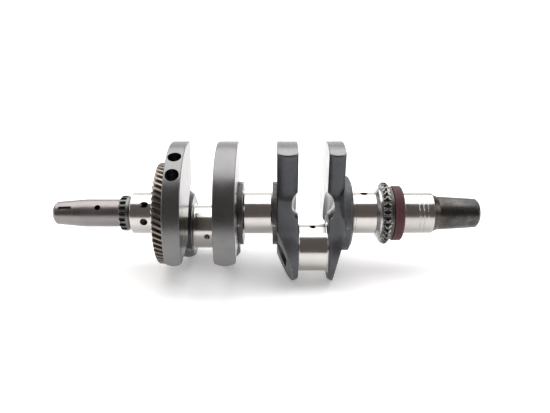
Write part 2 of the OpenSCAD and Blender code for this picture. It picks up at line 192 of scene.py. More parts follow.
def make_mesh(name, points, faces):
    """A new object from points in millimetres, with its faces turned outwards."""
    mesh = bpy.data.meshes.new(name)
    mesh.from_pydata([Vector(p) for p in points], [], faces)
    mesh.validate()
    work = bmesh.new()
    work.from_mesh(mesh)
    bmesh.ops.recalc_face_normals(work, faces=work.faces)
    work.to_mesh(mesh)
    work.free()
    piece = bpy.data.objects.new(name, mesh)
    bpy.context.scene.collection.objects.link(piece)
    return piece


def settle(piece):
    """Turns a piece's modifiers into its mesh."""
    graph = bpy.context.evaluated_depsgraph_get()
    made = bpy.data.meshes.new_from_object(piece.evaluated_get(graph))
    old = piece.data
    piece.modifiers.clear()
    piece.data = made
    bpy.data.meshes.remove(old)


def combine(piece, other, operation="DIFFERENCE"):
    """Cuts or joins another object into a piece, and takes the other away."""
    step = piece.modifiers.new("Combine", "BOOLEAN")
    step.operation = operation
    step.solver = "EXACT"
    step.object = other
    settle(piece)
    bpy.data.objects.remove(other, do_unlink=True)


def soften(outline, radius, closed):
    """Rounds the corners of an outline of (distance, radius) points."""
    softened = []
    count = len(outline)
    for i, point in enumerate(outline):
        here = Vector(point)
        if not closed and i in (0, count - 1):
            softened.append(tuple(here))
            continue
        before = Vector(outline[i - 1])
        after = Vector(outline[(i + 1) % count])
        to_before = before - here
        to_after = after - here
        reach = min(radius, to_before.length * 0.42, to_after.length * 0.42)
        straight = to_before.length > 0 and to_before.normalized().dot(to_after.normalized()) < -0.985
        if reach < 0.04 or straight or here.y < 0.01:
            softened.append(tuple(here))
            continue
        start = here + to_before.normalized() * reach
        end = here + to_after.normalized() * reach
        for k in range(4):
            t = k / 3
            softened.append(tuple(start * (1 - t) ** 2 + here * 2 * t * (1 - t) + end * t * t))
    return softened


def lathe(name, outline, closed=False, radius=None, segments=None, dent=None, centre=(0, 0)):
    """Turns an outline of (distance along the crank, radius) points into a piece.

    dent(x, turn) gives how far the surface is cut in. centre is the axis in Y and Z.
    """
    shape = bpy.context.scene.crank_shape
    segments = segments or shape.turned_segments
    outline = soften(outline, shape.edge_round if radius is None else radius, closed)
    points, rings = [], []
    for x, r in outline:
        if r < 0.01:
            rings.append([len(points)])
            points.append((x, centre[0], centre[1]))
            continue
        rings.append(list(range(len(points), len(points) + segments)))
        for k in range(segments):
            turn = 2 * pi * k / segments
            here = r - (dent(x, turn) if dent else 0)
            points.append((x, centre[0] + here * cos(turn), centre[1] + here * sin(turn)))
    faces = []
    pairs = list(zip(rings, rings[1:])) + ([(rings[-1], rings[0])] if closed else [])
    for low, high in pairs:
        for k in range(segments):
            n = (k + 1) % segments
            if len(low) == 1:
                faces.append((low[0], high[k], high[n]))
            elif len(high) == 1:
                faces.append((low[k], high[0], low[n]))
            else:
                faces.append((low[k], high[k], high[n], low[n]))
    return make_mesh(name, points, faces)


def rod(start, end, r, segments=40, name="Cutter"):
    """A round bar between two points."""
    start, end = Vector(start), Vector(end)
    along = (end - start).normalized()
    side = along.orthogonal().normalized()
    other = along.cross(side)
    points = []
    for place in (start, end):
        for k in range(segments):
            turn = 2 * pi * k / segments
            points.append(place + side * (r * cos(turn)) + other * (r * sin(turn)))
    faces = [(k, (k + 1) % segments, segments + (k + 1) % segments, segments + k)
             for k in range(segments)]
    faces += [tuple(range(segments)), tuple(range(segments, segments * 2))]
    return make_mesh(name, points, faces)


def block(low, high, matrix=Matrix()):
    """A box cutter between two corners."""
    points = [matrix @ Vector((x, y, z))
              for x in (low[0], high[0]) for y in (low[1], high[1]) for z in (low[2], high[2])]
    faces = [(0, 1, 3, 2), (4, 6, 7, 5), (0, 4, 5, 1), (2, 3, 7, 6), (0, 2, 6, 4), (1, 5, 7, 3)]
    return make_mesh("Cutter", points, faces)


def paint(piece, finishes, rule):
    """Gives each face one of the finishes, as rule(middle, normal) says, before it is placed."""
    piece.data.materials.clear()
    for name in finishes:
        piece.data.materials.append(look(name))
    for face in piece.data.polygons:
        face.material_index = rule(face.center, face.normal)


def finish_piece(piece, body, nodes, sharp=32):
    """Scales a piece to metres, shades it, and puts it on its body in place of its nodes."""
    piece.data.transform(Matrix.Scale(MM, 4))
    piece.data.shade_smooth()
    piece.data.set_sharp_from_angle(angle=radians(sharp))
    even = piece.modifiers.new("Even shading", "WEIGHTED_NORMAL")
    even.keep_sharp = True
    even.weight = 50
    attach(piece, body)
    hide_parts(*nodes)
    return piece


def across(turn, x, r):
    """A point at a turn above the front horizontal, a station and a radius."""
    return (x, -r * cos(radians(turn)), r * sin(radians(turn)))


def thread_dent(start, end, pitch, depth):
    """A vee thread cut outwards between two stations, for lathe."""
    def dent(x, turn):
        if not start < x < end:
            return 0
        phase = (x / pitch + turn / (2 * pi)) % 1
        fade = min(1, (x - start) / pitch, (end - x) / pitch)
        return -depth * fade * (1 - abs(2 * phase - 1))
    return dent


# Material helpers

def add(tree, kind, inputs=None, **values):
    """A shader node with its settings and inputs, which may be values or sockets."""
    made = tree.nodes.new(kind)
    for key, value in values.items():
        setattr(made, key, value)
    for key, value in (inputs or {}).items():
        if isinstance(value, bpy.types.NodeSocket):
            tree.links.new(value, made.inputs[key])
        else:
            made.inputs[key].default_value = value
    return made


def maths(tree, operation, first, second=0.0):
    """One sum on two values or sockets."""
    return add(tree, "ShaderNodeMath", {0: first, 1: second}, operation=operation).outputs[0]


def times(tree, first, second):
    """The product of two values or sockets."""
    return maths(tree, "MULTIPLY", first, second)


def object_place(tree):
    """The place of a point on its own piece."""
    return add(tree, "ShaderNodeTexCoord").outputs["Object"]


def noise(tree, inputs, **values):
    """A noise texture."""
    return add(tree, "ShaderNodeTexNoise", inputs, **values)


def between(tree, mask, low, high, start=0.0, end=1.0):
    """A value that runs from low to high as the mask runs from start to end."""
    return add(tree, "ShaderNodeMapRange", {
        "Value": mask, "From Min": start, "From Max": end, "To Min": low, "To Max": high,
    }).outputs["Result"]


def blend_colours(tree, mask, low, high):
    """A colour that runs from low to high as the mask rises."""
    made = add(tree, "ShaderNodeMix", data_type="RGBA")
    for socket, value in ((made.inputs[0], mask), (made.inputs[6], low), (made.inputs[7], high)):
        if isinstance(value, bpy.types.NodeSocket):
            tree.links.new(value, socket)
        elif isinstance(value, float):
            socket.default_value = value
        else:
            socket.default_value = (*value, 1)
    return made.outputs[2]


def new_group(name, inputs, outputs):
    """A node group with value inputs (name, default) and value outputs."""
    tree = bpy.data.node_groups.new(name, "ShaderNodeTree")
    for title, default in inputs:
        socket = tree.interface.new_socket(name=title, in_out="INPUT", socket_type="NodeSocketFloat")
        socket.default_value = default
    for title in outputs:
        tree.interface.new_socket(name=title, in_out="OUTPUT", socket_type="NodeSocketFloat")
    return tree, tree.nodes.new("NodeGroupInput"), tree.nodes.new("NodeGroupOutput")


def make_groups():
    """The shared surface effects, as node groups."""
    tree, given, out = new_group("Turning marks", [("Spacing", 0.0002)], ["Along", "Around"])
    place = object_place(tree)
    parts = add(tree, "ShaderNodeSeparateXYZ", {0: place}).outputs
    radius = maths(tree, "SQRT", maths(tree, "ADD", times(tree, parts[1], parts[1]),
                                       times(tree, parts[2], parts[2])))
    for socket, title in ((parts[0], "Along"), (radius, "Around")):
        steps = maths(tree, "DIVIDE", socket, given.outputs["Spacing"])
        marks = noise(tree, {"W": steps, "Scale": 1.0, "Detail": 3.0, "Roughness": 0.65},
                    noise_dimensions="1D")
        tree.links.new(marks.outputs[0], out.inputs[title])

    tree, given, out = new_group("Handling film", [("Scale", 45.0), ("Contrast", 1.0)], ["Mask"])
    place = object_place(tree)
    broad = noise(tree, {"Vector": place, "Scale": given.outputs["Scale"], "Detail": 5.0,
                                             "Roughness": 0.6, "Distortion": 0.5})
    lifted = between(tree, broad.outputs[0], 0.0, 1.0, 0.35, 0.68)
    tree.links.new(times(tree, lifted, given.outputs["Contrast"]), out.inputs["Mask"])

    tree, given, out = new_group("Scratches", [("Stretch", 30.0), ("Amount", 0.5)], ["Mask"])
    place = object_place(tree)
    total = None
    for tilt in (0.25, -0.35):
        turned = add(tree, "ShaderNodeMapping", {"Vector": place, "Rotation": (tilt, tilt, tilt)}).outputs[0]
        parts = add(tree, "ShaderNodeSeparateXYZ", {0: turned}).outputs
        drawn = add(tree, "ShaderNodeCombineXYZ", {
            0: times(tree, parts[0], given.outputs["Stretch"]),
            1: times(tree, parts[1], 900.0),
            2: times(tree, parts[2], 900.0)}).outputs[0]
        lines = noise(tree, {"Vector": drawn, "Scale": 1.0, "Detail": 2.0})
        sharp = between(tree, lines.outputs[0], 0.0, 1.0, 0.62, 0.74)
        total = sharp if total is None else maths(tree, "MAXIMUM", total, sharp)
    tree.links.new(times(tree, total, given.outputs["Amount"]), out.inputs["Mask"])

    tree, given, out = new_group("Forged grain", [("Scale", 700.0)], ["Height", "Mottle", "Pits"])
    place = object_place(tree)
    fine = noise(tree, {"Vector": place, "Scale": given.outputs["Scale"], "Detail": 4.0,
                                            "Roughness": 0.6})
    broad = noise(tree, {"Vector": place, "Scale": 38.0, "Detail": 4.0, "Roughness": 0.55})
    cells = add(tree, "ShaderNodeTexVoronoi", {"Vector": place, "Scale": 420.0, "Randomness": 1.0})
    pits = between(tree, cells.outputs["Distance"], 1.0, 0.0, 0.05, 0.3)
    height = maths(tree, "SUBTRACT", maths(tree, "ADD", fine.outputs[0], broad.outputs[0]),
                   times(tree, pits, 0.5))
    tree.links.new(height, out.inputs["Height"])
    tree.links.new(between(tree, broad.outputs[0], 0.0, 1.0, 0.36, 0.66), out.inputs["Mottle"])
    tree.links.new(pits, out.inputs["Pits"])

    tree, given, out = new_group("Edge wear", [("Start", 0.52), ("End", 0.6)], ["Mask"])
    bend = add(tree, "ShaderNodeNewGeometry").outputs["Pointiness"]
    place = object_place(tree)
    broken = noise(tree, {"Vector": place, "Scale": 260.0, "Detail": 3.0}).outputs[0]
    edge = add(tree, "ShaderNodeMapRange", {"Value": bend, "From Min": given.outputs["Start"],
                                            "From Max": given.outputs["End"]}).outputs["Result"]
    worn = times(tree, edge, between(tree, broken, 0.35, 1.0, 0.3, 0.6))
    tree.links.new(worn, out.inputs["Mask"])


def effect(tree, name, **values):
    """Places a shared effect with its own values and returns its outputs."""
    made = tree.nodes.new("ShaderNodeGroup")
    made.node_tree = bpy.data.node_groups[name]
    for key, value in values.items():
        made.inputs[key].default_value = value
    return made.outputs


def new_finish(name, metallic=1.0, **constants):
    """A material with a Principled shader, and the constants set on its own sockets."""
    material = bpy.data.materials.new(name)
    material.use_nodes = True
    tree = material.node_tree
    shader = tree.nodes["Principled BSDF"]
    shader.inputs["Metallic"].default_value = metallic
    for key, value in constants.items():
        shader.inputs[key.replace("_", " ")].default_value = value
    return material, tree, shader


def surface(tree, shader, colour, rough, height=None, strength=0.1, distance=0.0001):
    """Joins a colour, a roughness and a height to the shader."""
    tree.links.new(colour, shader.inputs["Base Color"])
    tree.links.new(rough, shader.inputs["Roughness"])
    if height is not None:
        relief = add(tree, "ShaderNodeBump", {"Height": height, "Strength": strength, "Distance": distance})
        tree.links.new(relief.outputs[0], shader.inputs["Normal"])


def shade(colour, share):
    """A colour made darker or lighter by a share."""
    return tuple(min(1.0, c * share) for c in colour)


def turned_finish(name, colour, rough, marks_share, spacing=0.00022, facing=False, film=0.12, strength=0.12,
                  scratch=0.3):
    """Steel with fine tool marks around the crank, or on a face across it."""
    _, tree, shader = new_finish(name)
    marks = effect(tree, "Turning marks", Spacing=spacing)["Around" if facing else "Along"]
    smear = effect(tree, "Handling film", Scale=42.0)["Mask"]
    lines = effect(tree, "Scratches", Amount=scratch)["Mask"]
    tinted = blend_colours(tree, marks, shade(colour, 1 - marks_share), shade(colour, 1 + marks_share * 0.6))
    dulled = blend_colours(tree, times(tree, smear, 0.35), tinted, shade(colour, 0.82))
    base = between(tree, marks, rough * 0.75, rough * 1.3, 0.25, 0.75)
    whole = maths(tree, "ADD", base, times(tree, smear, film))
    whole = maths(tree, "ADD", whole, times(tree, lines, 0.12))
    surface(tree, shader, dulled, whole, marks, strength, 0.00006)


def forged_finish(name, colour, rough=0.46, lift=1.5):
    """The skin left by the forging dies, mottled and finely pitted, with brighter rubbed edges."""
    _, tree, shader = new_finish(name, metallic=0.8)
    grain = effect(tree, "Forged grain")
    smear = effect(tree, "Handling film", Scale=70.0)["Mask"]
    edge = effect(tree, "Edge wear", Start=0.505, End=0.56)["Mask"]
    skin = blend_colours(tree, grain["Mottle"], shade(colour, 0.86), shade(colour, lift * 0.85))
    skin = blend_colours(tree, times(tree, grain["Pits"], 0.5), skin, shade(colour, 0.55))
    skin = blend_colours(tree, times(tree, edge, 0.55), skin, shade(colour, 3.0))
    dull = maths(tree, "ADD", between(tree, grain["Mottle"], rough * 0.88, rough * 1.15),
                 times(tree, smear, 0.06))
    surface(tree, shader, skin, dull, grain["Height"], 0.35, 0.00012)


def black_finish(name, colour, rough=0.34):
    """Blackened steel, rubbed through to bare metal on its edges; on the channel walls of the front webs it
    is painted shade.
    """
    _, tree, shader = new_finish(name, metallic=0.75)
    grain = effect(tree, "Forged grain", Scale=1500.0)
    edge = effect(tree, "Edge wear", Start=0.515, End=0.6)["Mask"]
    marks = effect(tree, "Turning marks", Spacing=0.0003)["Around"]
    skin = blend_colours(tree, grain["Mottle"], shade(colour, 0.8), shade(colour, 1.5))
    skin = blend_colours(tree, times(tree, marks, 0.2), skin, shade(colour, 2.4))
    skin = blend_colours(tree, edge, skin, (0.42, 0.41, 0.40))
    dull = between(tree, grain["Mottle"], rough * 0.8, rough * 1.25)
    surface(tree, shader, skin, dull, grain["Height"], 0.15)


def taper_finish(name):
    """The drive taper: dark, scuffed along its length, with a brown tint towards the shoulder."""
    _, tree, shader = new_finish(name)
    start = span("drive_shaft_end")[1] * MM
    along = add(tree, "ShaderNodeSeparateXYZ", {0: object_place(tree)}).outputs[0]
    heat = between(tree, along, 1.0, 0.0, start - 0.046, start - 0.026)
    scuffs = effect(tree, "Scratches", Stretch=16.0, Amount=0.5)["Mask"]
    smear = effect(tree, "Handling film", Scale=60.0)["Mask"]
    marks = effect(tree, "Turning marks", Spacing=0.0005)["Along"]
    colour = blend_colours(tree, smear, (0.036, 0.035, 0.034), (0.095, 0.092, 0.09))
    colour = blend_colours(tree, times(tree, heat, 0.7), colour, (0.075, 0.06, 0.05))
    colour = blend_colours(tree, scuffs, colour, (0.2, 0.195, 0.19))
    rough = maths(tree, "SUBTRACT", between(tree, smear, 0.42, 0.28), times(tree, scuffs, 0.08))
    surface(tree, shader, colour, rough, maths(tree, "ADD", marks, scuffs), 0.2, 0.00008)


def rubber_finish(name, colour):
    """Moulded rubber with a slight bloom and a soft gloss."""
    _, tree, shader = new_finish(name, metallic=0.0, Specular_IOR_Level=0.14)
    grain = effect(tree, "Forged grain", Scale=900.0)
    bloom = effect(tree, "Handling film", Scale=90.0)["Mask"]
    skin = blend_colours(tree, grain["Mottle"], shade(colour, 0.75), shade(colour, 1.25))
    skin = blend_colours(tree, times(tree, bloom, 0.3), skin, (0.1, 0.07, 0.065))
    surface(tree, shader, skin, between(tree, bloom, 0.36, 0.52), grain["Height"], 0.12)


def make_finishes(scene):
    """Every material of the crankshaft."""
    colours = scene.crank_finish
    journal = tuple(colours.journal_colour)
    rim = tuple(colours.rim_colour)
    turned_finish("journal_polish", journal, 0.13, 0.2, 0.0004, film=0.07, strength=0.12, scratch=0.15)
    turned_finish("nose_turned", tuple(colours.turned_colour), 0.27, 0.2, 0.0003, film=0.1, strength=0.16)
    turned_finish("rim_machined", rim, 0.27, 0.2, 0.00035, film=0.1, strength=0.14)
    turned_finish("face_machined", shade(rim, 1.0), 0.2, 0.14, 0.0004, facing=True, film=0.07, strength=0.08)
    turned_finish("land_ground", shade(journal, 0.86), 0.16, 0.2, 0.0004, film=0.1, strength=0.08)
    turned_finish("worn_edge", (0.60, 0.585, 0.56), 0.2, 0.12, 0.0003, film=0.08)
    turned_finish("pin_bright", (0.55, 0.55, 0.55), 0.22, 0.15, 0.0002)
    turned_finish("collar_satin", (0.50, 0.50, 0.50), 0.2, 0.16, 0.0003, film=0.08)
    turned_finish("flange_grey", (0.20, 0.197, 0.195), 0.3, 0.2, 0.0003)
    turned_finish("gear_land", shade(tuple(colours.gear_colour), 1.15), 0.3, 0.25, 0.0006)
    turned_finish("gear_side", shade(tuple(colours.gear_colour), 1.1), 0.3, 0.2, 0.0005, facing=True)
    forged_finish("forged_dark", tuple(colours.forged_colour))
    # A copy of the forged skin made 1.7 times lighter, used on the sides of the front webs.
    forged_finish("forged_light", shade(tuple(colours.forged_colour), 1.7), 0.42, 1.35)
    forged_finish("gear_flank", tuple(colours.gear_colour), 0.36, 1.3)
    turned_finish("worn_dark", (0.2, 0.195, 0.19), 0.25, 0.2, 0.0003, film=0.08)
    black_finish("black_oxide", tuple(colours.black_colour))
    # Dark finish for the boss and thrust faces of the front webs, and painted shade on their channel walls,
    # where the same turned channel is bright on the rear webs.
    black_finish("thrust_dark", shade(tuple(colours.black_colour), 1.5), 0.3)
    taper_finish("taper_scuffed")
    rubber_finish("moulded_rubber", tuple(colours.rubber_colour))


def look(name):
    """A finish by its name."""
    return bpy.data.materials[name]


# Webs

def web_side(z, t, shape, edge):
    """Half the outline of a web at a depth z, from the rim's top to the cheek's tip."""
    def bulged_in(bulge):
        r = (t * t / 4 + bulge * bulge) / (2 * bulge)
        return r - sqrt(r * r - (z - t / 2) ** 2)
    rim = RIM_R - edge
    rise = (bulged_in(shape.weight_bulge) + edge) / cos(SIDE_ANGLE)
    slope = tan(SIDE_ANGLE)
    cheek = CHEEK_R - bulged_in(shape.cheek_bulge) - edge
    base = WAIST_Y - CHEEK_R * slope + rise
    a, b, c = 1 + slope * slope, 2 * slope * base, base * base - rim * rim
    corner = Vector(((-b + sqrt(b * b - 4 * a * c)) / (2 * a), 0))
    corner.y = slope * corner.x + base
    corner_turn = asin(corner.x / rim)
    rim_turn = corner_turn - 2.2 / rim
    points = [(rim * sin(rim_turn * k / 30), rim * cos(rim_turn * k / 30)) for k in range(31)]
    start = Vector(points[-1])
    down = Vector((-cos(SIDE_ANGLE), -sin(SIDE_ANGLE)))
    end = corner + down * 2.2
    for k in range(1, 5):
        s = k / 4
        points.append(tuple(start * (1 - s) ** 2 + corner * 2 * s * (1 - s) + end * s * s))
    fillet = shape.waist_fillet
    hub = Vector((cheek + fillet, slope * (cheek + fillet) + base - fillet / cos(SIDE_ANGLE)))
    first = Vector(hub) + Vector((-sin(SIDE_ANGLE), cos(SIDE_ANGLE))) * fillet
    points += [tuple(end.lerp(first, k / 8)) for k in range(1, 8)]
    for k in range(13):
        turn = pi / 2 + SIDE_ANGLE + (pi / 2 - SIDE_ANGLE) * k / 12
        points.append((hub.x + fillet * cos(turn), hub.y + fillet * sin(turn)))
    points += [(cheek, hub.y + (-THROW - hub.y) * k / 6) for k in range(1, 6)]
    points += [(cheek * cos(pi / 2 * k / 20), -THROW - cheek * sin(pi / 2 * k / 20)) for k in range(21)]
    return points


def web_blank(name, t, shape):
    """The forged web before its cuts, with its journal side at z = 0 and its pin side at z = t."""
    e = shape.web_edge_round
    layers = [(e - e * cos(pi / 2 * k / 4), e - e * sin(pi / 2 * k / 4)) for k in range(5)]
    layers += [(e + (t - 2 * e) * k / 12, 0) for k in range(1, 12)]
    layers += [(t - z, edge) for z, edge in reversed(layers[:5])]
    points, rings = [], []
    for z, edge in layers:
        half = web_side(z, t, shape, edge)
        whole = half + [(-x, y) for x, y in reversed(half[1:-1])]
        rings.append(range(len(points), len(points) + len(whole)))
        points += [(x, y, z) for x, y in whole]
    faces = [tuple(rings[0]), tuple(rings[-1])]
    for low, high in zip(rings, rings[1:]):
        for k in range(len(low)):
            n = (k + 1) % len(low)
            faces.append((low[k], low[n], high[n], high[k]))
    return make_mesh(name, points, faces)


def make_web(name, t, journal_x, pin_x, turn, finishes, cuts=(), joined=()):
    """A finished web: blank, bevel, channel and cuts, painted and placed on its throw."""
    shape = bpy.context.scene.crank_shape
    piece = web_blank(name, t, shape)
    bevel = atan((t - TIP_T) / (THROW + CHEEK_R - BEVEL_START))
    tilt = Matrix.Translation((0, -BEVEL_START, 0)) @ Matrix.Rotation(-bevel, 4, "X")
    combine(piece, block((-90, -140, -60), (90, 0, 0), tilt))
    channel_z = t + CHANNEL_R - CHANNEL_DEPTH
    combine(piece, channel_ring(channel_z))
    for other in joined:
        combine(piece, other, "UNION")
    for cutter in cuts:
        combine(piece, cutter)

    def rule(middle, normal):
        out = middle.xy.length
        from_pin = (middle.xy - Vector((0, -THROW))).length
        if out > RIM_R - 1.4 and abs(normal.z) < 0.9:
            return 0
        if middle.y > 20 and out < RIM_R - 1.4 and abs(middle.x) < middle.y * 0.6 and abs(normal.z) < 0.9:
            return 0
        to_channel = Vector((from_pin - CHANNEL_REACH, middle.z - channel_z)).length
        # Channel walls, index 4: bright machined on the rear webs, painted shade on the front webs.
        if abs(to_channel - CHANNEL_R) < 0.15 and middle.z < t - 0.1:
            return 4
        if abs(normal.z) > 0.9995:
            if middle.z > t / 2 and from_pin < CHEEK_R:
                return 2
            return 1 if middle.z > t / 2 or out > THRUST_R else 2
        return 3
    paint(piece, finishes, rule)
    side = 1 if pin_x > journal_x else -1
    place = Matrix(((0, 0, side, journal_x), (1, 0, 0, 0), (0, 1, 0, 0), (0, 0, 0, 1)))
    piece.data.transform(Matrix.Rotation(turn, 4, "X") @ place)
    if side < 0:
        piece.data.flip_normals()
    return piece


def channel_ring(z):
    """The cutter of the round channel that runs around a crankpin's boss."""
    ring = [(z + CHANNEL_R * sin(2 * pi * k / 64), CHANNEL_REACH + CHANNEL_R * cos(2 * pi * k / 64))
            for k in range(64)]
    cutter = lathe("Cutter", ring, True, 0.001, 192)
    upright = Matrix(((0, 1, 0, 0), (0, 0, 1, -THROW), (1, 0, 0, 0), (0, 0, 0, 1)))
    cutter.data.transform(upright)
    return cutter


def mouth_pocket():
    """The pocket around the mouth of a lightening bore, sunk into the bevel."""
    return rod((0, -46, -12), (0, -46, 9), 13.5, 72)


def pin_bore_cutter(t):
    """The crankpin's lightening bore where it opens through an inner web."""
    return rod((0, PIN_BORE_Y, -6), (0, PIN_BORE_Y, t + 6), PIN_BORE_R, 72)


def boss_flare(t):
    """The flare that carries the outer web into the round boss of the rear journal."""
    flare = lathe("Flare", [(0, 0), (0, BOSS_R), (1.2, BOSS_R), (t * 0.6, 28), (t * 0.6, 0)], False, 0.8, 160)
    flare.data.transform(Matrix(((0, 1, 0, 0), (0, 0, 1, 0), (1, 0, 0, 0), (0, 0, 0, 1))))
    return flare


def balance_hole(turn, t):
    """A blind balance hole drilled into the rim, with a flat bottom."""
    out = Vector((sin(radians(turn)), cos(radians(turn)), 0))
    middle = Vector((0, 0, t / 2))
    return rod(middle + out * (RIM_R - BALANCE_HOLE_DEPTH), middle + out * (RIM_R + 6), BALANCE_HOLE_R, 56)


class CRANKSHAFT_OT_webs(bpy.types.Operator):
    """Make the four webs with their counterweights, cheeks, bevels and channels"""
    bl_idname = "crankshaft.webs"
    bl_label = "Webs"

    def execute(self, context):
        # The front webs' list puts the dark finish on the channel walls as painted shade, and a lighter copy
        # of the forged skin on the sides; the rear webs' list keeps the channel bright machined.
        front_web_finishes = ["rim_machined", "face_machined", "thrust_dark", "forged_light", "thrust_dark"]
        forged = ["rim_machined", "face_machined", "forged_dark", "forged_dark", "face_machined"]
        webs = (
            ("front_outer_web", False, 45, front_web_finishes,
             lambda t: [balance_hole(5.5, t), balance_hole(23, t)], None),
            ("front_inner_web", True, 45, front_web_finishes, lambda t: [mouth_pocket(), pin_bore_cutter(t)], None),
            ("rear_inner_web", False, -45, forged, lambda t: [mouth_pocket(), pin_bore_cutter(t)], None),
            ("rear_outer_web", True, -45, forged, lambda t: [], boss_flare),
        )
        for node, pin_first, turn, finishes, cuts, flare in webs:
            low, high = span(node)
            t = high - low
            ends = (high, low) if pin_first else (low, high)
            web = make_web(f"{node}_detail", t, *ends, radians(turn), finishes, cuts(t),
                           [flare(t)] if flare else [])
            finish_piece(web, CRANK, [node])
        return {"FINISHED"}


# Shafts

def one_finish(piece, name):
    """Gives a whole piece one finish."""
    paint(piece, [name], lambda middle, normal: 0)


def slanted_mouth(x, turn, side):
    """The mouth of the slanted drilling that leads from a main journal to its crankpin."""
    start = Vector(across(turn, x, MAIN_R))
    inward = Vector((side * GALLERY_RUN, 0, 0)) - Vector(across(turn, 0, MAIN_R + THROW))
    inward.normalize()
    return rod(start - inward * 5, start + inward * 16, GALLERY_R, 40)


class CRANKSHAFT_OT_nose(bpy.types.Operator):
    """Make the nose shaft with its taper, thread, keyway and oil hole"""
    bl_idname = "crankshaft.nose"
    bl_label = "Nose shaft"

    def execute(self, context):
        end, start = span("nose_shaft")
        tooth_end = end + 67.5
        thread = [(end + 2.4 + k * 0.25, 5.1) for k in range(87)]
        outline = [(start, GALLERY_R), (start, TIMING_SEAT_R), (tooth_end, TIMING_SEAT_R),
                   (tooth_end, 14.05), (end + 32, 14.05), (end + 2.5, 11.35), (end, 8.85), (end, 7.5)]
        outline += thread + [(end + 24, 5.1), (end + 24, GALLERY_R)]
        piece = lathe("nose_shaft_detail", outline, True,
                      dent=thread_dent(end + 2.4, end + 23, 1.25, 0.6))
        turned = Matrix.Rotation(radians(45), 4, "X")
        combine(piece, block((end + 6.3, -1.9, 9.55), (end + 19.3, 1.9, 18), turned))
        combine(piece, rod(across(45, tooth_end - 21.5, 1), across(45, tooth_end - 21.5, 20), 2.8, 40))
        one_finish(piece, "nose_turned")
        finish_piece(piece, CRANK, ["nose_shaft"])
        return {"FINISHED"}


class CRANKSHAFT_OT_journals(bpy.types.Operator):
    """Make the three main journals with their shoulders and oil holes"""
    bl_idname = "crankshaft.journals"
    bl_label = "Main journals"

    def execute(self, context):
        low, high = span("front_journal")
        oil_x = low + 16.55
        piece = lathe("front_journal_detail", [
            (oil_x, 0), (oil_x, GALLERY_R), (low, GALLERY_R), (low, 16), (low + 3.1, MAIN_R),
            (high - 15.6, MAIN_R), (high - 15.2, MAIN_R - 0.35), (high - 14.1, MAIN_R - 0.35),
            (high - 14.1, GEAR_SEAT_R), (high, GEAR_SEAT_R), (high, 0)])
        combine(piece, slanted_mouth(oil_x, 45, 1))
        combine(piece, rod(across(-3, oil_x, 0), across(-3, oil_x, 30), OIL_MOUTH_R, 40))
        one_finish(piece, "journal_polish")
        finish_piece(piece, CRANK, ["front_journal"])

        low, high = span("centre_journal")
        half = [(0, MAIN_R), (high - THRUST_T - 1.6, MAIN_R), (high - THRUST_T - 1.0, MAIN_R + 0.45),
                (high - THRUST_T, MAIN_R + 1.3), (high - THRUST_T, THRUST_R), (high, THRUST_R), (high, 0)]
        mirrored = [(-x, r) for x, r in reversed(half[1:])]
        piece = lathe("centre_journal_detail", mirrored + half[1:])
        paint(piece, ["journal_polish", "black_oxide"],
              lambda middle, normal: int(middle.yz.length > MAIN_R + 2.5))
        finish_piece(piece, CRANK, ["centre_journal"])

        low, high = span("rear_journal")
        piece = lathe("rear_journal_detail", [
            (low, 0), (low, BOSS_R), (low + 5.5, BOSS_R), (low + 8, 33), (low + 10.5, 23.5),
            (low + 10.6, MAIN_R - 0.3), (low + 12, MAIN_R - 0.3), (low + 12.5, MAIN_R),
            (high, MAIN_R), (high, 0)])
        middle_x = low + 21.75
        combine(piece, slanted_mouth(middle_x, 135, -1))
        combine(piece, rod(across(90, middle_x, 0), across(90, middle_x, 30), OIL_MOUTH_R, 40))
        paint(piece, ["journal_polish", "forged_dark"],
              lambda middle, normal: int(middle.x < low + 9 and middle.yz.length > 24))
        finish_piece(piece, CRANK, ["rear_journal"])
        return {"FINISHED"}


class CRANKSHAFT_OT_crankpins(bpy.types.Operator):
    """Make the two crankpins with their fillets, bores and oil holes"""
    bl_idname = "crankshaft.crankpins"
    bl_label = "Crankpins"

    def execute(self, context):
        for title, turn in (("front", 45), ("rear", -45)):
            low, high = span(f"{title}_crankpin")
            away = Vector((sin(radians(turn)), -cos(radians(turn))))
            centre = away * THROW
            fillet = [(2 - 2 * sin(pi / 2 * k / 6), PIN_R + 2 - 2 * cos(pi / 2 * k / 6))
                      for k in range(6, -1, -1)]
            outline = [(low, 0)] + [(low + x, r) for x, r in fillet]
            outline += [(high - x, r) for x, r in reversed(fillet)] + [(high, 0)]
            piece = lathe(f"{title}_crankpin_detail", outline, radius=0.05, centre=tuple(centre))
            bore = away * -PIN_BORE_Y
            start, end = (high + 3, low + 4) if title == "front" else (low - 3, high - 4)
            combine(piece, rod((start, *bore), (end, *bore), PIN_BORE_R, 72))
            oil = Matrix.Rotation(radians(turn), 3, "X") @ Vector((0, -sin(radians(50)), cos(radians(50))))
            middle = Vector(((low + high) / 2, *centre))
            combine(piece, rod(middle + oil * 16, middle + oil * 30, 3, 36))
            one_finish(piece, "journal_polish")
            finish_piece(piece, CRANK, [f"{title}_crankpin"])
        return {"FINISHED"}


